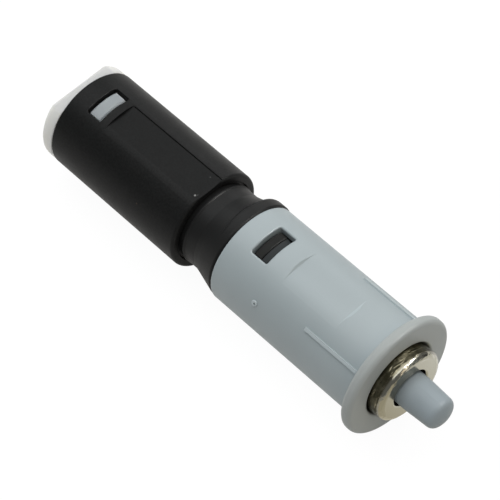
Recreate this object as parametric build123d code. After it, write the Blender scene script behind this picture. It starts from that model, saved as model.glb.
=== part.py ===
from build123d import *
import math
import os

# ---------------------------------------------------------------------------
# Drill-in magnetic touch latch. Millimetres.
# Row frame: X along the latch, +X out of the plunger's tip, +Z up through the
# snap windows and the two flats. Origin on the axis, in the plane of the
# flange's rear (seat) face.
# ---------------------------------------------------------------------------

# front barrel, the grey moulding
R_BARREL = 7.4
R_BORE = 6.2
X_BARREL_REAR = -25.6
REAR_EDGE = 0.25         # rounding of the barrel's rear rim
R_FLANGE = 9.0
T_FLANGE = 1.65
FLANGE_BACK = 0.6        # rounding of the flange's rim behind and in front
FLANGE_FRONT = 0.65
R_MOUTH = 5.65           # opening in the flange that the magnet stands out of
X_LIP = -1.0             # rear face of the retaining lip
WIN_G = (-22.2, -19.35)  # snap window, along X
WIN_G_HALF = 2.6
WIN_G_EDGE = 0.25        # softened outer edge of the snap window
FLAT_G = (-16.3, -5.7)
FLAT_G_Z = R_BARREL * math.cos(math.radians(16.0))
FLAT_G_BLEND = 4.5       # radius that runs the flat out into the round
FLAT_G_RAMP = (0.3, 0.6) # sloped ends of the flat, rear and front, along X
RIB_X = -10.1
PIP = (-17.83, 61.2)     # gate vestige, x and degrees from +Z towards -Y
RIB_H = 0.20
RIB_W = 0.46

# rear housing, the black moulding
R_HOUSING = 7.5
R_HBORE = 6.35
X_HOUSING_REAR = -57.4
X_HOUSING_FRONT = -32.85
SHOULDER_R = 0.45
WIN_B = (-54.3, -51.7)
WIN_B_HALF = 2.6
WIN_B_EDGE = 0.14
X_FLAT_B = -50.4             # rear step of the flat, which runs out at the front
FLAT_B_Z = 7.08
FLAT_B_Y = 2.32              # crisp edge of the flat, with a witness groove along it
FLAT_B_GROOVE = (0.17, 0.16) # width and depth
FLAT_B_BLEND = 3.4

# coupling sleeve, the black piece that joins the two and carries the latch
R_SPIGOT = 6.1
X_SPIGOT = -18.2
R_SPIGOT_BORE = 4.95
R_SLEEVE = 6.3
R_SLEEVE_BORE = 4.85
X_SLEEVE_REAR = -51.0
X_WALL = (-27.2, -25.2)
R_WALL_HOLE = 2.95
X_COLLAR = -33.2             # front end of the part that fits the rear housing's bore
COLLAR = [(-33.4, 5.95), (-32.4, 5.95), (-32.3, 6.2), (-32.2, 6.26), (-32.05, 6.26), (-31.9, 6.15)]   # relief groove, then a bead
FLARE = [(-30.1, 6.15), (-29.3, 6.33), (-26.1, 7.24), (-25.95, 7.24), (-25.6, 6.95)]   # neck that widens to the barrel's rim
LUG = (-28.1, -25.6)         # eccentric lip that stands out of the flare on one side
LUG_R = 7.0
LUG_OFF = 0.55
LUG_AZ = 67.0                # towards this side, degrees from +Z towards +Y

# end cap
R_CAP = 7.45
X_CAP_REAR = -59.55
CAP_EDGE = 0.65
CAP_FLAT_Z = 5.75
CAP_CORNER = 0.9         # rounding between the flats and the round
R_PLUG = 6.25
R_PLUG_BORE = 4.95
X_PLUG = -51.5
BOSS_R = 2.5
X_BOSS = -56.0
ROD_R = 1.15
X_ROD = (-58.6, -41.5)

# magnet group, which floats inwards
R_MAGNET = 5.4
R_MAGNET_HOLE = 2.84
X_MAGNET = (-0.45, 3.7)
MAGNET_EDGE = 0.75
R_PLATE = 5.2
R_PLATE_HOLE = 3.05
X_PLATE = (-1.25, -0.45)
R_CARRIER = 6.0
X_CARRIER = (-3.2, -1.25)
R_CARRIER_TUBE = 3.55
X_CARRIER_TUBE = -9.0
MAG_SPRING = dict(r=4.2, wire=0.55, x0=-24.85, x1=-3.55, turns=9.0)

# ejector group, which the door pushes in
R_PLUNGER = 2.52
R_PLUNGER_TIP = 2.33
X_TAPER = 5.0
X_TIP = 9.85
TIP_DOME = 3.9               # radius of the tip's dome
TIP_EDGE = 1.05              # radius that joins the dome to the side
X_SLIDER = (-46.4, -29.1)
R_SLIDER = 4.55
R_POCKET = 2.25
X_POCKET = -31.5
TRACK_Z = 3.85
TRACK_FLOOR = 2.9
TRACK_W = 1.15
TRAVEL = 8.2                 # until the tip is flush with the flange
MAIN_SPRING = dict(r=1.8, wire=0.5, x0=-55.7, x1=-31.8, turns=14.0)

# follower wire, which rides in the heart-shaped track
X_PIVOT = -49.5
X_FOLLOW = -41.6
Z_WIRE = 4.3
R_WIRE = 0.35
SWING = 1.2                  # sideways travel of the follower's tip at full stroke

# rubber stop
X_STOP = (-28.8, -27.2)


def spin(pts, arcs=None):
    """Solid of revolution about X from a closed list of (x, r) corners.
    arcs maps a corner's index to a middle point, which turns the side that
    leaves that corner into an arc."""
    arcs = arcs or {}
    n = len(pts)
    sides = []
    for i in range(n):
        a, b = pts[i], pts[(i + 1) % n]
        if i in arcs:
            m = arcs[i]
            sides.append(ThreePointArc((a[0], 0, a[1]), (m[0], 0, m[1]), (b[0], 0, b[1])))
        else:
            sides.append(Line((a[0], 0, a[1]), (b[0], 0, b[1])))
    face = Face(Wire(sides))
    return Solid.revolve(face, 360, Axis.X)


def tube(x0, x1, r, hole=0.0):
    s = Pos((x0 + x1) / 2, 0, 0) * Rot(0, 90, 0) * Cylinder(r, x1 - x0)
    if hole > 0:
        s = s - Pos((x0 + x1) / 2, 0, 0) * Rot(0, 90, 0) * Cylinder(hole, x1 - x0 + 2)
    return s


def block(x0, x1, y0, y1, z0, z1):
    return Pos((x0 + x1) / 2, (y0 + y1) / 2, (z0 + z1) / 2) * Box(x1 - x0, y1 - y0, z1 - z0)


def side_prism(pts, y0, y1):
    """Prism along Y from (x, z) corners."""
    w = Wire([Line((pts[i][0], y0, pts[i][1]), (pts[(i + 1) % len(pts)][0], y0, pts[(i + 1) % len(pts)][1]))
              for i in range(len(pts))])
    return Solid.extrude(Face(w), Vector(0, y1 - y0, 0))


def rounded_window(x0, x1, half, z0, z1, r):
    b = block(x0, x1, -half, half, z0, z1)
    return fillet(b.edges().filter_by(Axis.Z), r)


def coil(r, wire, x0, x1, turns):
    path = Helix(pitch=(x1 - x0) / turns, height=x1 - x0, radius=r, center=(x0, 0, 0), direction=(1, 0, 0))
    section = Plane(origin=path @ 0, z_dir=path % 0) * Circle(wire / 2)
    return sweep(section, path=path, is_frenet=True)


def blend_y(r, z, blend):
    """Where a flat at height z ends, so that an arc of this radius carries it
    on until it meets the round of radius r at a tangent."""
    return math.sqrt((r - blend) ** 2 - (z - blend) ** 2)


def blended_face(x0, r, z, blend, ya, yb, both):
    """Section of a shallow flat on top of a round of radius r. At its -Y side,
    and at both sides if asked, an arc runs it out at a tangent to the round."""
    top = r + 1.5
    y0 = abs(ya)
    t = math.atan2(y0, z - blend)                # where the arc meets the round, from +Z
    end = (-r * math.sin(t), r * math.cos(t))
    mid = (-y0 - blend * math.sin(t / 2), z - blend + blend * math.cos(t / 2))
    far = (-(r + 1.0) * math.sin(t), (r + 1.0) * math.cos(t))

    def at(p):
        return (x0, p[0], p[1])

    sides = [Line(at((-y0, z)), at((yb, z)))]
    if both:
        m2, e2, f2 = (-mid[0], mid[1]), (-end[0], end[1]), (-far[0], far[1])
        sides += [ThreePointArc(at((yb, z)), at(m2), at(e2)), Line(at(e2), at(f2)), Line(at(f2), at((f2[0], top))),
                  Line(at((f2[0], top)), at((far[0], top)))]
    else:
        sides += [Line(at((yb, z)), at((yb, top))), Line(at((yb, top)), at((far[0], top)))]
    sides += [Line(at((far[0], top)), at(far)), Line(at(far), at(end)), ThreePointArc(at(end), at(mid), at((-y0, z)))]
    return Face(Wire(sides))


def blended_cut(x0, x1, *shape):
    return Solid.extrude(blended_face(x0, *shape), Vector(x1 - x0, 0, 0))


def snap_tab(pts, ya, yb):
    """Tab of a snap finger, from its (x, r) section, round about X and cut off at its sides."""
    x0, x1 = min(p[0] for p in pts) - 1, max(p[0] for p in pts) + 1
    body = fillet(block(x0 + 1, x1 - 1, ya, yb, 4.0, 9.0).edges().filter_by(Axis.Z), 0.3)
    return spin(pts) & body


def soften_window(s, win, half, r, e):
    """Round the outer edges of the snap windows."""
    xm = (win[0] + win[1]) / 2
    rim = []
    for edge in s.edges():
        c = edge.center()
        if abs(c.X - xm) > (win[1] - win[0]) / 2 + 0.05 or abs(c.Y) > half + 0.05:
            continue
        ends = [edge @ 0, edge @ 0.5, edge @ 1]
        if all(abs(math.hypot(p.Y, p.Z) - r) < 0.02 for p in ends):
            rim.append(edge)
    return fillet(rim, e)


# --- front barrel ----------------------------------------------------------
def make_front_barrel():
    ro, rf, rr, rm = FLANGE_BACK, FLANGE_FRONT, REAR_EDGE, 0.35
    pts = [
        (X_BARREL_REAR, R_BORE), (X_BARREL_REAR, R_BARREL - rr), (X_BARREL_REAR + rr, R_BARREL),
        (0.0, R_BARREL), (0.0, R_FLANGE - ro), (ro, R_FLANGE), (T_FLANGE - rf, R_FLANGE),
        (T_FLANGE, R_FLANGE - rf), (T_FLANGE, R_MOUTH + rm), (T_FLANGE - rm, R_MOUTH),
        (X_LIP, R_MOUTH), (X_LIP, R_BORE),
    ]
    k = math.sqrt(0.5)
    arcs = {
        1: (X_BARREL_REAR + rr - rr * k, R_BARREL - rr + rr * k),
        4: (ro - ro * k, R_FLANGE - ro + ro * k),
        6: (T_FLANGE - rf + rf * k, R_FLANGE - rf + rf * k),
        8: (T_FLANGE - rm + rm * k, R_MOUTH + rm - rm * k),
    }
    s = spin(pts, arcs)
    # crush ribs that keep the barrel from turning in its hole
    for az in (45, 135, 225, 315):
        rib = side_prism([(RIB_X, R_BARREL - 0.3), (RIB_X + 0.55, R_BARREL + RIB_H), (0.2, R_BARREL + RIB_H), (0.2, R_BARREL - 0.3)],
                         -RIB_W / 2, RIB_W / 2)
        s = s + Rot(az, 0, 0) * rib
    # snap windows, top and bottom
    for sgn in (1, -1):
        w = rounded_window(WIN_G[0], WIN_G[1], WIN_G_HALF, 4.6, 9.0, 0.25)
        s = s - (w if sgn > 0 else Rot(180, 0, 0) * w)
    s = soften_window(s, WIN_G, WIN_G_HALF, R_BARREL, WIN_G_EDGE)
    # shallow flat on top that runs out into the round on both sides, with sloped ends
    y0 = blend_y(R_BARREL, FLAT_G_Z, FLAT_G_BLEND)
    shape = (R_BARREL, FLAT_G_Z, FLAT_G_BLEND, -y0, y0, True)
    xa, xb = FLAT_G[0] + FLAT_G_RAMP[0], FLAT_G[1] - FLAT_G_RAMP[1]
    cut = blended_cut(xa, xb, *shape)
    rise = R_BARREL - FLAT_G_Z + 0.03
    for x, run in ((xa, -FLAT_G_RAMP[0]), (xb, FLAT_G_RAMP[1])):
        cut = cut + Solid.extrude(blended_face(x, *shape), Vector(run, 0, rise))
    s = s - cut
    # gate pip left from moulding
    at = Rot(PIP[1], 0, 0) * Pos(PIP[0], 0, 0)
    disc = Pos(0, 0, R_BARREL - 0.01) * Cylinder(0.46, 0.36)
    disc = fillet(disc.edges().filter_by(GeomType.CIRCLE).sort_by(Axis.Z)[-1], 0.12)
    s = s + at * disc - at * Pos(0.1, 0, R_BARREL + 0.1) * Cylinder(0.17, 0.26)
    return s


# --- rear housing ----------------------------------------------------------
def make_rear_housing():
    k = math.sqrt(0.5)
    xf, rs = X_HOUSING_FRONT, SHOULDER_R
    pts = [
        (X_HOUSING_REAR, R_HBORE), (X_HOUSING_REAR, R_HOUSING - 0.3), (X_HOUSING_REAR + 0.3, R_HOUSING),
        (xf - rs, R_HOUSING), (xf, R_HOUSING - rs), (xf, R_HBORE + 0.1), (xf - 0.1, R_HBORE),
    ]
    arcs = {1: (X_HOUSING_REAR + 0.3 - 0.3 * k, R_HOUSING - 0.3 + 0.3 * k), 3: (xf - rs + rs * k, R_HOUSING - rs + rs * k)}
    s = spin(pts, arcs)
    for sgn in (1, -1):
        w = rounded_window(WIN_B[0], WIN_B[1], WIN_B_HALF, 4.6, 9.0, 0.25)
        s = s - (w if sgn > 0 else Rot(180, 0, 0) * w)
    s = soften_window(s, WIN_B, WIN_B_HALF, R_HOUSING, WIN_B_EDGE)
    # flat on top: it runs out into the round on one side and has a step on the other
    y0 = blend_y(R_HOUSING, FLAT_B_Z, FLAT_B_BLEND)
    s = s - blended_cut(X_FLAT_B, X_HOUSING_FRONT + 1, R_HOUSING, FLAT_B_Z, FLAT_B_BLEND, -y0, FLAT_B_Y, False)
    gw, gd = FLAT_B_GROOVE
    s = s - block(X_FLAT_B + 0.25, X_HOUSING_FRONT + 1, FLAT_B_Y - gw, FLAT_B_Y, FLAT_B_Z - gd, 9)
    # blind recesses that the sleeve's side nubs snap into
    for sgn in (1, -1):
        y0, y1 = (R_HBORE - 0.6, 6.85) if sgn > 0 else (-6.85, -R_HBORE + 0.6)
        s = s - block(-46.7, -44.8, y0, y1, -1.7, 1.7)
    return s


# --- coupling sleeve -------------------------------------------------------
def make_coupling_sleeve():
    s = tube(X_SLEEVE_REAR, X_COLLAR, R_SLEEVE, 0) + tube(-27.2, X_SPIGOT, R_SPIGOT, 0)
    # neck that flares to the barrel's rim, with an eccentric lip on one side
    s = s + spin([(COLLAR[0][0], 0.0)] + COLLAR + FLARE + [(FLARE[-1][0], 0.0)])
    a = math.radians(LUG_AZ)
    lug = spin([(LUG[0], 0.0), (LUG[0], LUG_R - 0.8), (LUG[0] + 0.65, LUG_R - 0.08), (LUG[0] + 0.95, LUG_R), (LUG[1] - 0.35, LUG_R),
                (LUG[1], LUG_R - 0.32), (LUG[1], 0.0)])
    s = s + Pos(0, LUG_OFF * math.sin(a), LUG_OFF * math.cos(a)) * lug
    # bores
    s = s - tube(X_SLEEVE_REAR - 1, X_WALL[0], R_SLEEVE_BORE)
    s = s - tube(X_WALL[0] - 1, X_WALL[1] + 1, R_WALL_HOLE)
    s = s - tube(X_WALL[1], X_SPIGOT + 1, R_SPIGOT_BORE)
    # window in the roof for the follower wire, and the hole of its pivot
    s = s - block(-48.6, -38.4, -2.4, 2.4, 2.0, 8)
    s = s - Pos(X_PIVOT, 0, 6.0) * Cylinder(0.43, 4.0)
    # key groove in the floor of the bore
    s = s - block(X_SLEEVE_REAR - 1, -30.3, -1.1, 1.1, -5.7, -3.5)
    # front snap fingers: slits beside each tab, then the tabs themselves
    tab = snap_tab([(-21.95, 5.4), (-21.95, 6.64), (-21.87, 6.72), (-20.78, 6.72), (-20.7, 6.68), (-20.63, 6.52), (-19.6, 6.32), (-19.6, 5.4)], -2.35, 2.2)
    for turn in (0, 180):
        slits = block(-24.2, X_SPIGOT + 1, -2.75, -2.35, 3.5, 8) + block(-24.2, X_SPIGOT + 1, 2.35, 2.75, 3.5, 8)
        s = s - Rot(turn, 0, 0) * slits
        s = s + Rot(turn, 0, 0) * tab
    # side nubs that snap into the rear housing
    for sgn in (1, -1):
        nub = block(-46.5, -45.0, 5.6, 6.7, -1.5, 1.5)
        nub = nub if sgn > 0 else Rot(180, 0, 0) * nub
        s = s + nub
    return s


# --- end cap ---------------------------------------------------------------
def make_end_cap():
    s = tube(X_CAP_REAR, X_HOUSING_REAR, R_CAP)
    for turn in (0, 180):
        s = s - Rot(turn, 0, 0) * block(X_CAP_REAR - 1, X_HOUSING_REAR + 1, -9, 9, CAP_FLAT_Z, 9)
    h = math.sqrt(R_CAP ** 2 - CAP_FLAT_Z ** 2)
    s = fillet([e for e in s.edges() if abs(abs((e @ 0.5).Z) - CAP_FLAT_Z) < 0.02 and abs(abs((e @ 0.5).Y) - h) < 0.02], CAP_CORNER)
    s = fillet([e for e in s.edges() if all(abs((e @ t).X - X_CAP_REAR) < 0.01 for t in (0, 0.5, 1))], CAP_EDGE)
    s = s + tube(X_HOUSING_REAR, X_PLUG, R_PLUG, 0)
    s = s - tube(X_HOUSING_REAR, X_PLUG + 1, R_PLUG_BORE)
    s = s + tube(X_HOUSING_REAR, X_BOSS, BOSS_R)
    s = s - tube(X_ROD[0], X_BOSS + 1, ROD_R)
    tab = snap_tab([(-54.05, 5.4), (-54.05, 7.0), (-53.8, 7.22), (-52.4, 7.22), (-52.15, 7.15), (-51.85, 6.85), (-51.85, 5.4)], -2.45, 2.15)
    for turn in (0, 180):
        slits = block(-56.6, X_PLUG + 1, -2.75, -2.35, 3.5, 8) + block(-56.6, X_PLUG + 1, 2.35, 2.75, 3.5, 8)
        s = s - Rot(turn, 0, 0) * slits
        s = s + Rot(turn, 0, 0) * tab
    return s


# --- magnet group ----------------------------------------------------------
def make_ring_magnet():
    k = math.sqrt(0.5)
    x0, x1 = X_MAGNET
    e, q, h = MAGNET_EDGE, 0.3, 0.32
    pts = [
        (x0, R_MAGNET_HOLE), (x0, R_MAGNET - q), (x0 + q, R_MAGNET), (x1 - e, R_MAGNET), (x1, R_MAGNET - e),
        (x1, R_MAGNET_HOLE + h), (x1 - h, R_MAGNET_HOLE),
    ]
    arcs = {1: (x0 + q - q * k, R_MAGNET - q + q * k), 3: (x1 - e + e * k, R_MAGNET - e + e * k),
            5: (x1 - h + h * k, R_MAGNET_HOLE + h - h * k)}
    return spin(pts, arcs)


def make_pole_plate():
    return spin([(X_PLATE[0], R_PLATE_HOLE), (X_PLATE[0], R_PLATE), (X_PLATE[1], R_PLATE), (X_PLATE[1], R_PLATE_HOLE)])


def make_magnet_carrier():
    x0, x1 = X_CARRIER
    return spin([
        (X_CARRIER_TUBE, 2.95), (X_CARRIER_TUBE, R_CARRIER_TUBE - 0.25), (X_CARRIER_TUBE + 0.35, R_CARRIER_TUBE),
        (x0, R_CARRIER_TUBE), (x0, R_CARRIER - 0.15), (x0 + 0.15, R_CARRIER), (x1 - 0.15, R_CARRIER), (x1, R_CARRIER - 0.15),
        (x1, 2.95),
    ])


# --- ejector group ---------------------------------------------------------
def make_plunger():
    rs = 1.5
    x_s = X_SLIDER[1]
    # the dome and the edge radius meet at a tangent
    xd = X_TIP - TIP_DOME
    rc = R_PLUNGER_TIP - TIP_EDGE
    xe = xd + math.sqrt((TIP_DOME - TIP_EDGE) ** 2 - rc ** 2)
    turn = math.atan2(rc, xe - xd)
    join = (xe + TIP_EDGE * math.cos(turn), rc + TIP_EDGE * math.sin(turn))
    mid = (turn + math.pi / 2) / 2
    pts = [
        (x_s - 2.3, 0.0), (x_s - 2.3, rs - 0.2), (x_s - 2.1, rs), (x_s, rs), (x_s, R_PLUNGER - 0.3), (x_s + 0.3, R_PLUNGER),
        (X_TAPER, R_PLUNGER), (xe, R_PLUNGER_TIP), join, (X_TIP, 0.0),
    ]
    arcs = {7: (xe + TIP_EDGE * math.cos(mid), rc + TIP_EDGE * math.sin(mid)),
            8: (xd + TIP_DOME * math.cos(turn / 2), TIP_DOME * math.sin(turn / 2))}
    return spin(pts, arcs)


def channel(points, width, z0, z1):
    out = None
    for i, (x, y) in enumerate(points):
        c = Pos(x, y, (z0 + z1) / 2) * Cylinder(width / 2, z1 - z0)
        out = c if out is None else out + c
        if i:
            px, py = points[i - 1]
            d = math.hypot(x - px, y - py)
            b = Pos((x + px) / 2, (y + py) / 2, (z0 + z1) / 2) * Rot(0, 0, math.degrees(math.atan2(y - py, x - px))) * Box(d, width, z1 - z0)
            out = out + b
    return out


def make_cam_slider():
    x0, x1 = X_SLIDER
    s = spin([(x0, 0.0), (x0, R_SLIDER - 0.3), (x0 + 0.3, R_SLIDER), (x1 - 0.3, R_SLIDER), (x1, R_SLIDER - 0.3), (x1, 0.0)])
    s = s - block(x0 - 1, -31.2, -6, 6, TRACK_Z, 6)
    s = s - tube(x0 - 1, X_POCKET, R_POCKET)
    s = s - tube(X_POCKET - 1, x1 + 1, 1.5)
    # heart track: in along the straight channel, back past the notch
    start = (X_FOLLOW, 0.0)
    end = (X_FOLLOW + TRAVEL, SWING)
    notch = (X_FOLLOW + 6.15, 0.05)
    far = (X_FOLLOW + TRAVEL - 0.1, -1.15)
    back = (X_FOLLOW + 2.4, -0.95)
    s = s - channel([start, end], TRACK_W, TRACK_FLOOR, 5.0)
    s = s - channel([end, notch, far, back, start], TRACK_W, TRACK_FLOOR, 5.0)
    # key that keeps the slider from turning
    s = s + block(-41.5, -30.6, -0.8, 0.8, -5.4, -4.0)
    return s


# --- small pieces ----------------------------------------------------------
def make_follower_wire():
    path = FilletPolyline((X_PIVOT, 0, 5.85), (X_PIVOT, 0, Z_WIRE), (X_FOLLOW, 0, Z_WIRE), (X_FOLLOW, 0, 3.05), radius=0.5)
    section = Plane(origin=path @ 0, z_dir=path % 0) * Circle(R_WIRE)
    return sweep(section, path=path)


def make_follower_spring():
    t = 0.2
    top = [(-48.5, 6.15), (-47.4, 6.05), (-44.6, 5.05), (-42.6, 5.05), (-39.6, 6.05), (-38.5, 6.15)]
    low = [(x, z - t) for x, z in reversed(top)]
    return side_prism(top + low, -1.2, 1.2)


PARTS = {
    "front_barrel": make_front_barrel,
    "rear_housing": make_rear_housing,
    "coupling_sleeve": make_coupling_sleeve,
    "end_cap": make_end_cap,
    "guide_rod": lambda: tube(X_ROD[0], X_ROD[1], ROD_R),
    "stop_ring": lambda: tube(X_STOP[0], X_STOP[1], 4.6, 3.0),
    "main_spring": lambda: coil(**MAIN_SPRING),
    "magnet_spring": lambda: coil(**MAG_SPRING),
    "follower_spring": make_follower_spring,
    "ring_magnet": make_ring_magnet,
    "pole_plate": make_pole_plate,
    "magnet_carrier": make_magnet_carrier,
    "plunger": make_plunger,
    "cam_slider": make_cam_slider,
    "follower_wire": make_follower_wire,
}

COLOURS = {
    "front_barrel": (0.62, 0.66, 0.70), "rear_housing": (0.12, 0.12, 0.13), "coupling_sleeve": (0.20, 0.20, 0.22),
    "end_cap": (0.85, 0.84, 0.80), "ring_magnet": (0.80, 0.80, 0.82), "plunger": (0.66, 0.69, 0.72),
}

if __name__ == "__main__":
    os.makedirs("parts", exist_ok=True)
    for name, make in PARTS.items():
        shape = make()
        shape.label = name
        export_step(shape, os.path.join("parts", name + ".step"))
        bb = shape.bounding_box()
        print(f"{name:18s} solids {len(shape.solids())}  vol {shape.volume:9.2f}  "
              f"x {bb.min.X:7.2f}..{bb.max.X:6.2f}  y {bb.min.Y:6.2f}..{bb.max.Y:5.2f}  z {bb.min.Z:6.2f}..{bb.max.Z:5.2f}")
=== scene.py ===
import math
import random

import bpy
import bmesh
from mathutils import Matrix, Vector


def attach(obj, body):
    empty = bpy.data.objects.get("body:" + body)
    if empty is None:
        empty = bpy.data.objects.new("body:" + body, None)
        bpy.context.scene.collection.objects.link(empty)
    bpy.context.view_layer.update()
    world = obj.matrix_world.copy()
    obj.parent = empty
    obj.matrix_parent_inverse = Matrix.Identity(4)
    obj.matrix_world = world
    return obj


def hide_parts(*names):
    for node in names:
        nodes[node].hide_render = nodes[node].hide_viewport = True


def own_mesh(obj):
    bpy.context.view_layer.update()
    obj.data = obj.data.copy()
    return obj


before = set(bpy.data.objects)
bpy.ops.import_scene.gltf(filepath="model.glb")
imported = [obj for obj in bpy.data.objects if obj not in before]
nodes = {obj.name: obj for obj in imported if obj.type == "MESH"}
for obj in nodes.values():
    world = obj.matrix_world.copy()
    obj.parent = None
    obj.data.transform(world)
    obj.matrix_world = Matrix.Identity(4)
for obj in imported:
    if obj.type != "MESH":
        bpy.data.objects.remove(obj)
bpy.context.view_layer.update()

MM = 0.001
scene = bpy.context.scene
scene.view_settings.view_transform = "Standard"
scene.view_settings.look = "None"
scene.view_settings.exposure = 0.0
scene.view_settings.gamma = 1.0

# ---------------------------------------------------------------------------
# camera, at the photograph's viewing angle (500 x 500)
# ---------------------------------------------------------------------------
CAM_LENS = 172.8
CAM_LOC = (113.605, -108.774, 260.371)
CAM_AXES = ((0.683013, -0.580229, 0.443652), (0.727779, 0.592099, -0.346059), (-0.061893, 0.559243, 0.82669))

cam_data = bpy.data.cameras.new("camera")
cam = bpy.data.objects.new("camera", cam_data)
scene.collection.objects.link(cam)
cam_data.sensor_width = 36.0
cam_data.lens = CAM_LENS
cam_data.clip_start, cam_data.clip_end = 0.01, 20.0
m = Matrix.Identity(4)
for r in range(3):
    for c in range(3):
        m[r][c] = CAM_AXES[r][c]
    m[r][3] = CAM_LOC[r] * MM
cam.matrix_world = m
scene.camera = cam


# ---------------------------------------------------------------------------
# material tools
# ---------------------------------------------------------------------------
class Mat:
    """A node material built step by step."""

    def __init__(self, name):
        self.mat = bpy.data.materials.new(name)
        self.mat.use_nodes = True
        self.t = self.mat.node_tree
        self.t.nodes.clear()
        self.out = self.t.nodes.new("ShaderNodeOutputMaterial")
        self.bsdf = self.t.nodes.new("ShaderNodeBsdfPrincipled")
        self.t.links.new(self.bsdf.outputs[0], self.out.inputs[0])
        self.coord = self.t.nodes.new("ShaderNodeTexCoord")
        self.vec = self.coord.outputs["Object"]

    def node(self, kind, **inputs):
        n = self.t.nodes.new(kind)
        for k, v in inputs.items():
            self.put(n.inputs[k.replace("_", " ")], v)
        return n

    def put(self, socket, v):
        if isinstance(v, bpy.types.NodeSocket):
            self.t.links.new(v, socket)
        else:
            socket.default_value = v

    def noise(self, scale, detail=4.0, rough=0.55, vec=None, distortion=0.0):
        n = self.node("ShaderNodeTexNoise", Scale=scale, Detail=detail, Roughness=rough, Distortion=distortion)
        self.t.links.new(vec or self.vec, n.inputs["Vector"])
        return n.outputs["Fac"]

    def math(self, op, a, b=0.0, c=0.0, clamp=False):
        n = self.t.nodes.new("ShaderNodeMath")
        n.operation = op
        n.use_clamp = clamp
        for s, v in zip(n.inputs, (a, b, c)):
            self.put(s, v)
        return n.outputs[0]

    def vmath(self, op, a, b=(0, 0, 0)):
        n = self.t.nodes.new("ShaderNodeVectorMath")
        n.operation = op
        self.put(n.inputs[0], a)
        self.put(n.inputs[1], b)
        return n

    def stretch(self, x, y, z):
        return self.vmath("MULTIPLY", self.vec, (x, y, z)).outputs[0]

    def ramp(self, fac, stops, smooth=False):
        n = self.t.nodes.new("ShaderNodeValToRGB")
        e = n.color_ramp.elements
        while len(e) < len(stops):
            e.new(0.5)
        for k, (p, col) in zip(e, stops):
            k.position = p
            k.color = (*col, 1.0) if len(col) == 3 else col
        n.color_ramp.interpolation = "EASE" if smooth else "LINEAR"
        self.t.links.new(fac, n.inputs[0])
        return n.outputs[0]

    def mix(self, fac, a, b, mode="MIX"):
        n = self.t.nodes.new("ShaderNodeMix")
        n.data_type = "RGBA"
        n.blend_type = mode
        self.put(n.inputs[0], fac)
        for s, v in ((n.inputs[6], a), (n.inputs[7], b)):
            self.put(s, (*v, 1.0) if isinstance(v, tuple) and len(v) == 3 else v)
        return n.outputs[2]

    def maprange(self, v, a, b, c, d):
        n = self.node("ShaderNodeMapRange", Value=v)
        n.inputs["From Min"].default_value = a
        n.inputs["From Max"].default_value = b
        n.inputs["To Min"].default_value = c
        n.inputs["To Max"].default_value = d
        return n.outputs[0]

    def bump(self, height, strength, distance, normal=None):
        n = self.node("ShaderNodeBump", Height=height, Strength=strength, Distance=distance)
        if normal is not None:
            self.t.links.new(normal, n.inputs["Normal"])
        return n.outputs[0]

    def set(self, **inputs):
        for k, v in inputs.items():
            self.put(self.bsdf.inputs[k.replace("_", " ")], (*v, 1.0) if isinstance(v, tuple) and len(v) == 3 else v)

    def sep(self):
        n = self.t.nodes.new("ShaderNodeSeparateXYZ")
        self.t.links.new(self.vec, n.inputs[0])
        return n.outputs

    def spot(self, at, radius, soft=0.35):
        """1 inside a small round spot at a point on the object, 0 outside."""
        d = self.vmath("DISTANCE", self.vec, tuple(c * MM for c in at)).outputs["Value"]
        return self.maprange(d, radius * MM * (1 + soft), radius * MM * (1 - soft), 0.0, 1.0)


def srgb(r, g, b):
    def f(v):
        v /= 255.0
        return v / 12.92 if v <= 0.04045 else ((v + 0.055) / 1.055) ** 2.4
    return (f(r), f(g), f(b))


def moulded(name, colour, rough=0.45, vary=0.05, grain=0.02, flow=True, spec=0.5):
    """Injection-moulded plastic: spark-eroded grain, faint flow marks along the part, slight tone drift."""
    p = Mat(name)
    broad = p.noise(70.0, 3.0, 0.5)
    fine = p.noise(2600.0, 3.0, 0.6)
    mid = p.noise(420.0, 4.0, 0.55)
    dark = tuple(c * (1 - vary) for c in colour)
    light = tuple(min(1.0, c * (1 + vary)) for c in colour)
    col = p.mix(p.maprange(broad, 0.35, 0.65, 0.0, 1.0), dark, light)
    if flow:
        streak = p.noise(240.0, 3.0, 0.6, vec=p.stretch(0.08, 1.0, 1.0))
        col = p.mix(p.maprange(streak, 0.4, 0.7, 0.0, 0.35), col, p.mix(0.5, col, light))
    r = p.maprange(p.math("ADD", p.math("MULTIPLY", mid, 0.6), p.math("MULTIPLY", fine, 0.4)), 0.3, 0.7, rough - 0.05, rough + 0.05)
    h = p.math("ADD", p.math("MULTIPLY", fine, 0.6), p.math("MULTIPLY", mid, 0.4))
    p.set(Base_Color=col, Roughness=r, Normal=p.bump(h, grain, 0.0002))
    p.bsdf.inputs["Specular IOR Level"].default_value = spec
    return p, col, r


def assign(node, mat):
    o = nodes[node]
    o.data.materials.clear()
    o.data.materials.append(mat)


# ---------------------------------------------------------------------------
# the object's materials
# ---------------------------------------------------------------------------
GREY = (0.335, 0.385, 0.400)
GREY_PIN = (0.298, 0.344, 0.370)
BLACK = (0.0079, 0.0082, 0.0081)
BLACK_NECK = (0.0108, 0.0111, 0.0110)
WHITE = (0.61, 0.61, 0.59)

grey, col, rough = moulded("grey_barrel_plastic", GREY, rough=0.46, vary=0.03, grain=0.05)
# the crests of the crush ribs are painted lighter, a painted highlight where they catch the light
gx, gy, gz = (grey.math("MULTIPLY", c, 1000.0) for c in grey.sep())
gr = grey.math("SQRT", grey.math("ADD", grey.math("MULTIPLY", gy, gy), grey.math("MULTIPLY", gz, gz)))
crest_highlight = grey.math("MULTIPLY", grey.maprange(gr, 7.42, 7.50, 0.0, 1.0), grey.maprange(gx, -0.5, -0.7, 0.0, 1.0))
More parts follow.
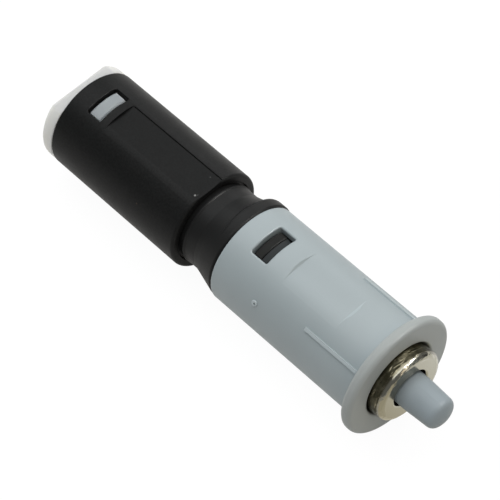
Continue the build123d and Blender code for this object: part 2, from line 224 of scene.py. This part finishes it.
# the ramp at the front end of the flat is painted lighter too, a painted highlight along its lit edge
ramp = grey.math("MULTIPLY", grey.math("MULTIPLY", grey.maprange(gx, -6.34, -6.28, 0.0, 1.0), grey.maprange(gx, -5.66, -5.72, 0.0, 1.0)),
                 grey.maprange(gr, 7.385, 7.355, 0.0, 1.0))
# the flange is painted a warmer grey than the barrel, a painted tint standing in for the warm light on its front
# face; its specular level is lower too
flange = grey.maprange(gx, -0.3, 0.0, 0.0, 1.0)
grey.set(Base_Color=grey.mix(flange, grey.mix(ramp, grey.mix(crest_highlight, col, (0.42, 0.475, 0.49)), (0.398, 0.456, 0.471)), (0.372, 0.397, 0.390)),
         Specular_IOR_Level=grey.maprange(flange, 0.0, 1.0, 0.5, 0.22))
assign("front_barrel", grey.mat)

pin, col, rough = moulded("grey_plunger_plastic", GREY_PIN, rough=0.50, vary=0.04, grain=0.05, spec=0.20)
assign("plunger", pin.mat)

black, col, rough = moulded("black_housing_plastic", BLACK, rough=0.40, vary=0.10, grain=0.10, spec=0.115)
# a few specks of dust on it
DUST = (
    ((-33.69, -1.89, 7.08), 0.13, (0.30, 0.30, 0.29)),
    ((-33.46, -1.61, 7.08), 0.06, (0.10, 0.10, 0.10)),
    ((-34.40, 1.47, 7.08), 0.09, (0.055, 0.056, 0.055)),
    ((-33.58, 2.20, 7.02), 0.10, (0.055, 0.056, 0.055)),
    ((-40.36, -6.66, 3.44), 0.12, (0.045, 0.034, 0.026)),
)
# the flat is painted darker than the round, painted shade for how the light falls on it
bx, by, bz = (black.math("MULTIPLY", c, 1000.0) for c in black.sep())
flat_shade = black.math("MULTIPLY", black.maprange(bz, 7.02, 7.06, 0.0, 1.0), black.maprange(bz, 7.16, 7.12, 0.0, 1.0))
flat_shade = black.math("MULTIPLY", flat_shade, black.maprange(bx, -50.5, -50.4, 0.0, 1.0))
col = black.mix(flat_shade, col, (0.0047, 0.0050, 0.0049))
for at, radius, tone in DUST:
    col = black.mix(black.spot(at, radius), col, tone)
speckle = black.noise(3600.0, 2.0, 0.7)
black.set(Base_Color=black.mix(1.0, col, black.mix(black.maprange(speckle, 0.35, 0.65, 0.0, 1.0), (0.72, 0.72, 0.72), (1.25, 1.25, 1.25)), "MULTIPLY"))
assign("rear_housing", black.mat)

neck, col, rough = moulded("black_neck_plastic", BLACK_NECK, rough=0.42, vary=0.12, grain=0.10, spec=0.14)
# the snap tab in the grey window is painted darker, painted shade in its recess; its front slope is painted a
# lighter blue-grey, a painted reflection of the light in front
tx, ty, tz = (neck.math("MULTIPLY", c, 1000.0) for c in neck.sep())
tab_shade = neck.math("MULTIPLY", neck.maprange(tx, -22.3, -22.1, 0.0, 1.0), neck.maprange(neck.math("ABSOLUTE", tz), 5.7, 5.8, 0.0, 1.0))
slope_reflection = neck.math("MULTIPLY", tab_shade, neck.maprange(tx, -20.66, -20.60, 0.0, 1.0))
neck.set(Base_Color=neck.mix(slope_reflection, neck.mix(tab_shade, col, (0.0078, 0.0082, 0.0072)), (0.0205, 0.0245, 0.0260)))
assign("coupling_sleeve", neck.mat)

white, col, rough = moulded("white_cap_plastic", WHITE, rough=0.36, vary=0.03, grain=0.03)
white.bsdf.inputs["Subsurface Weight"].default_value = 0.7
white.bsdf.inputs["Subsurface Radius"].default_value = (1.0, 1.0, 0.9)
white.bsdf.inputs["Subsurface Scale"].default_value = 0.0025
# the snap tongues are painted greyer in their windows, painted shade of the window recesses
x_mm = white.math("MULTIPLY", white.sep()[0], 1000.0)
tongue_shade = white.math("MULTIPLY", white.maprange(x_mm, -54.4, -54.1, 0.0, 1.0), white.maprange(white.math("ABSOLUTE", white.math("MULTIPLY", white.sep()[2], 1000.0)), 6.28, 6.36, 0.0, 1.0))
# the cap is painted darker towards its top and bottom than on its sides, painted shade for how the light falls on it
crown_shade = white.maprange(white.math("ABSOLUTE", white.math("MULTIPLY", white.sep()[2], 1000.0)), 5.55, 5.72, 0.0, 1.0)
white.set(Base_Color=white.mix(tongue_shade, white.mix(crown_shade, (0.70, 0.70, 0.675), (0.532, 0.532, 0.528)), (0.274, 0.302, 0.315)))
assign("end_cap", white.mat)

# nickel plating: bright, with faint handling haze
nickel = Mat("nickel_plating")
haze = nickel.noise(300.0, 4.0, 0.6)
fine = nickel.noise(3000.0, 2.0, 0.5)
nx, ny, nz = nickel.sep()
# the ring's outer side is painted a dark olive with streaks, a painted reflection of the shaded flange face around
# it; the front face keeps the plated tone
side = nickel.maprange(nx, 0.00315, 0.00290, 0.0, 1.0)
streak = nickel.noise(700.0, 3.0, 0.6, vec=nickel.stretch(0.35, 1.0, 1.0), distortion=0.6)
side_reflection = nickel.mix(nickel.maprange(streak, 0.36, 0.66, 0.0, 1.0), (0.085, 0.076, 0.046), (0.235, 0.215, 0.150))
bright = nickel.mix(haze, (0.290, 0.277, 0.224), (0.322, 0.309, 0.258))
# the plated edge is tumbled, not turned: shallow waves that run round the ring break up what it mirrors
radius = nickel.math("SQRT", nickel.math("ADD", nickel.math("MULTIPLY", ny, ny), nickel.math("MULTIPLY", nz, nz)))
turn = nickel.math("ARCTAN2", nz, ny)
around = nickel.t.nodes.new("ShaderNodeCombineXYZ")
for socket, v in zip(around.inputs, (nickel.math("MULTIPLY", nx, 1300.0), nickel.math("MULTIPLY", radius, 1300.0), nickel.math("MULTIPLY", turn, 2.6))):
    nickel.put(socket, v)
waves = nickel.noise(1.0, 2.0, 0.5, vec=around.outputs[0], distortion=0.4)
edge = nickel.maprange(radius, 0.00445, 0.00495, 0.0, 1.0)
nickel.set(
    Base_Color=nickel.mix(side, bright, side_reflection),
    Metallic=1.0,
    Roughness=nickel.maprange(haze, 0.3, 0.7, 0.10, 0.20),
    Normal=nickel.bump(fine, 0.02, 0.0002, normal=nickel.bump(nickel.math("MULTIPLY", nickel.math("SUBTRACT", waves, 0.5), edge), 0.75, 0.0003)),
)
assign("ring_magnet", nickel.mat)


def steel(name, colour, rough, lines):
    p = Mat(name)
    n = p.noise(900.0, 3.0, 0.6, vec=p.stretch(*lines))
    b = p.noise(200.0, 3.0, 0.5)
    p.set(
        Base_Color=p.mix(b, tuple(c * 0.88 for c in colour), colour),
        Metallic=1.0,
        Roughness=p.maprange(n, 0.3, 0.7, rough - 0.07, rough + 0.08),
        Normal=p.bump(n, 0.06, 0.0002),
    )
    return p.mat


assign("pole_plate", steel("zinc_plated_steel", (0.62, 0.63, 0.64), 0.34, (1.0, 1.0, 1.0)))
drawn = steel("drawn_steel", (0.60, 0.60, 0.60), 0.26, (0.1, 1.0, 1.0))
assign("guide_rod", drawn)
assign("follower_wire", drawn)
assign("follower_spring", steel("strip_steel", (0.55, 0.54, 0.52), 0.30, (0.1, 1.0, 1.0)))
spring_steel = steel("spring_wire", (0.50, 0.50, 0.50), 0.28, (1.0, 1.0, 1.0))

carrier, col, rough = moulded("black_carrier_plastic", (0.020, 0.020, 0.021), rough=0.40, vary=0.10, grain=0.06)
assign("magnet_carrier", carrier.mat)
slider, col, rough = moulded("natural_acetal", (0.70, 0.69, 0.64), rough=0.34, vary=0.03, grain=0.02)
assign("cam_slider", slider.mat)

rubber = Mat("stop_rubber")
n1 = rubber.noise(500.0, 4.0, 0.6)
rubber.set(
    Base_Color=rubber.mix(n1, (0.016, 0.016, 0.016), (0.030, 0.030, 0.029)),
    Roughness=rubber.maprange(n1, 0.3, 0.7, 0.65, 0.85),
    Normal=rubber.bump(n1, 0.15, 0.0002),
)
assign("stop_ring", rubber.mat)


# ---------------------------------------------------------------------------
# coil springs with closed, ground ends, in place of the plain CAD coils
# ---------------------------------------------------------------------------
def coil_spring(name, x0, x1, r, wire, turns, dead=1.6, seg=40, ring=12):
    """x0 to x1 are the outer faces of the spring, in mm."""
    a, b = x0 + wire / 2, x1 - wire / 2
    live = turns - 2 * dead
    pitch_dead = wire * 1.04
    span = b - a - 2 * dead * pitch_dead
    total = int(turns * seg)
    pts = []
    for i in range(total + 1):
        k = turns * i / total
        if k < dead:
            x = a + k * pitch_dead
        elif k > turns - dead:
            x = b - (turns - k) * pitch_dead
        else:
            u = (k - dead) / live
            x = a + dead * pitch_dead + span * u
        w = 2 * math.pi * k
        pts.append(Vector((x, r * math.cos(w), r * math.sin(w))))
    bm = bmesh.new()
    rings = []
    for i, p in enumerate(pts):
        t = (pts[min(i + 1, total)] - pts[max(i - 1, 0)]).normalized()
        out = Vector((0, p.y, p.z)).normalized()
        side = t.cross(out).normalized()
        out = side.cross(t).normalized()
        loop = []
        for j in range(ring):
            v = 2 * math.pi * j / ring
            q = p + (out * math.cos(v) + side * math.sin(v)) * (wire / 2)
            q.x = min(max(q.x, x0 + wire * 0.12), x1 - wire * 0.12)  # ground flat ends
            loop.append(bm.verts.new(q * MM))
        rings.append(loop)
    for la, lb in zip(rings, rings[1:]):
        for j in range(ring):
            bm.faces.new((la[j], la[(j + 1) % ring], lb[(j + 1) % ring], lb[j]))
    bm.faces.new(list(reversed(rings[0])))
    bm.faces.new(rings[-1])
    bmesh.ops.recalc_face_normals(bm, faces=bm.faces)
    me = bpy.data.meshes.new(name)
    bm.to_mesh(me)
    bm.free()
    for f in me.polygons:
        f.use_smooth = True
    o = bpy.data.objects.new(name, me)
    scene.collection.objects.link(o)
    me.materials.append(spring_steel)
    return o


main_coil = coil_spring("main_coil", -55.98, -31.52, 1.8, 0.5, 15.0)
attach(main_coil, "housing")
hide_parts("main_spring")
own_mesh(main_coil)

mag_coil = coil_spring("magnet_coil", -25.18, -3.22, 4.2, 0.55, 9.5)
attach(mag_coil, "housing")
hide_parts("magnet_spring")
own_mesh(mag_coil)


# ---------------------------------------------------------------------------
# floor and light
# ---------------------------------------------------------------------------
def plane(name, corners, mat, camera=True):
    me = bpy.data.meshes.new(name)
    me.from_pydata([Vector(c) for c in corners], [], [list(range(len(corners)))])
    o = bpy.data.objects.new(name, me)
    me.materials.append(mat)
    scene.collection.objects.link(o)
    o.visible_camera = camera
    return o


def table(name, albedo, glow, tint=(1.0, 1.0, 1.0), front=None):
    m = Mat(name)
    n = m.noise(30.0, 3.0, 0.5)
    m.set(Base_Color=m.mix(n, (albedo,) * 3, (albedo + 0.02,) * 3), Roughness=0.8)
    m.bsdf.inputs["Specular IOR Level"].default_value = 0.0
    m.bsdf.inputs["Emission Color"].default_value = (*tint, 1.0)
    m.bsdf.inputs["Emission Strength"].default_value = glow
    if front is not None:  # dimmer in front of the flange
        m.set(Emission_Strength=m.maprange(m.sep()[0], -0.002, 0.014, glow, front))
    return m.mat


# the latch lies on its flange's rim and its rear housing, so the floor meets both
SLOPE = (9.0 - 7.5) / (0.8 + 57.1)


def floor_z(x, lift=0.0):
    return (-9.005 + (0.8 - x) * SLOPE + lift) * MM


F = 1500.0
SQUARE = ((-F, -F), (F, -F), (F, F), (-F, F))
# a pale table that lights the latch from below, and over it the white sheet that the camera sees
plane("floor", [(x * MM, y * MM, floor_z(x, -0.02)) for x, y in SQUARE], table("pale_table", 0.42, 0.37, (1.0, 0.955, 0.90), front=0.16), camera=False)
sheet = plane("sheet", [(x * MM, y * MM, floor_z(x)) for x, y in SQUARE], table("white_sheet", 0.06, 0.955))
sheet.visible_diffuse = False
sheet.visible_glossy = False
sheet.visible_transmission = False
sheet.visible_shadow = False

world = bpy.data.worlds.new("studio")
scene.world = world
world.use_nodes = True
bg = world.node_tree.nodes["Background"]
bg.inputs[0].default_value = (0.96, 0.985, 1.0, 1.0)
bg.inputs[1].default_value = 0.26


def area(name, loc, target, size, energy, colour=(1, 1, 1), size_y=None):
    d = bpy.data.lights.new(name, "AREA")
    d.shape = "RECTANGLE"
    d.size = size * MM
    d.size_y = (size_y or size) * MM
    d.energy = energy
    d.color = colour
    o = bpy.data.objects.new(name, d)
    scene.collection.objects.link(o)
    o.location = Vector(loc) * MM
    o.rotation_mode = "QUATERNION"
    if target is not None:
        o.rotation_quaternion = (Vector(loc) - Vector(target)).to_track_quat("Z", "Y")
    return o


area("top_box", (-130, 50, 430), None, 560, 1.95, (0.985, 0.995, 1.0), size_y=560)
area("side_box", (-160, 360, 200), (-25, 0, 0), 260, 0.36)
area("back_box", (-420, 90, 210), (-25, 0, 0), 260, 0.26)
area("front_box", (300, 60, 260), (-10, 0, 0), 200, 0.19, (1.0, 0.86, 0.70))


def card(name, centre, target, w, h, colour, strength):
    """A studio card that only reflections see."""
    m = bpy.data.materials.new(name)
    m.use_nodes = True
    t = m.node_tree
    t.nodes.clear()
    out = t.nodes.new("ShaderNodeOutputMaterial")
    e = t.nodes.new("ShaderNodeEmission")
    e.inputs[0].default_value = (*colour, 1.0)
    e.inputs[1].default_value = strength
    t.links.new(e.outputs[0], out.inputs[0])
    c, look = Vector(centre), (Vector(target) - Vector(centre)).normalized()
    side = look.cross(Vector((0, 0, 1))).normalized()
    up = side.cross(look).normalized()
    o = plane(name, [(c + side * (w / 2) * i + up * (h / 2) * j) * MM for i, j in ((-1, -1), (1, -1), (1, 1), (-1, 1))], m, camera=False)
    o.visible_diffuse = False
    o.visible_shadow = False
    o.visible_transmission = False
    return o


card("dark_flag", (80, 62, 4), (3, 0, 4), 150, 26, (1, 1, 1), 0.02)
card("streak_card", (110, 190, 210), (3, 0, 3), 150, 85, (1.0, 0.99, 0.97), 19.0)
card("streak_card_2", (150, 100, 260), (3, 0, 3), 50, 130, (1.0, 0.99, 0.97), 17.0)
card("streak_card_3", (60, 240, 200), (3, 0, 3), 12, 150, (0.92, 0.88, 0.80), 4.0)
card("sky_card", (400, 170, 215), (-30, 0, 5), 300, 170, (0.88, 0.96, 1.0), 0.8)

# a card over the floor in front of the flange that only reflections see; its glow is painted darker and warmer
# towards the latch, a painted shadow of the latch on the floor
near_card = plane("near_card", [(x * MM, y * MM, floor_z(x, 0.15)) for x, y in ((3, -40), (90, -40), (90, 70), (3, 70))],
                  bpy.data.materials["dark_flag"].copy(), camera=False)
tree = near_card.data.materials[0].node_tree
coord = tree.nodes.new("ShaderNodeTexCoord")
split = tree.nodes.new("ShaderNodeSeparateXYZ")
tree.links.new(coord.outputs["Object"], split.inputs[0])
grade = tree.nodes.new("ShaderNodeMapRange")
for k, v in (("From Min", -0.002), ("From Max", 0.009), ("To Min", 0.0), ("To Max", 1.0)):
    grade.inputs[k].default_value = v
tree.links.new(split.outputs[1], grade.inputs["Value"])
tone = tree.nodes.new("ShaderNodeValToRGB")
tone.color_ramp.elements[0].color = (0.66, 0.62, 0.50, 1.0)
tone.color_ramp.elements[1].color = (1.0, 1.0, 0.96, 1.0)
tree.links.new(grade.outputs[0], tone.inputs[0])
for n in tree.nodes:
    if n.type == "EMISSION":
        tree.links.new(tone.outputs[0], n.inputs[0])
        n.inputs[1].default_value = 1.25
for flag in ("visible_diffuse", "visible_shadow", "visible_transmission"):
    setattr(near_card, flag, False)
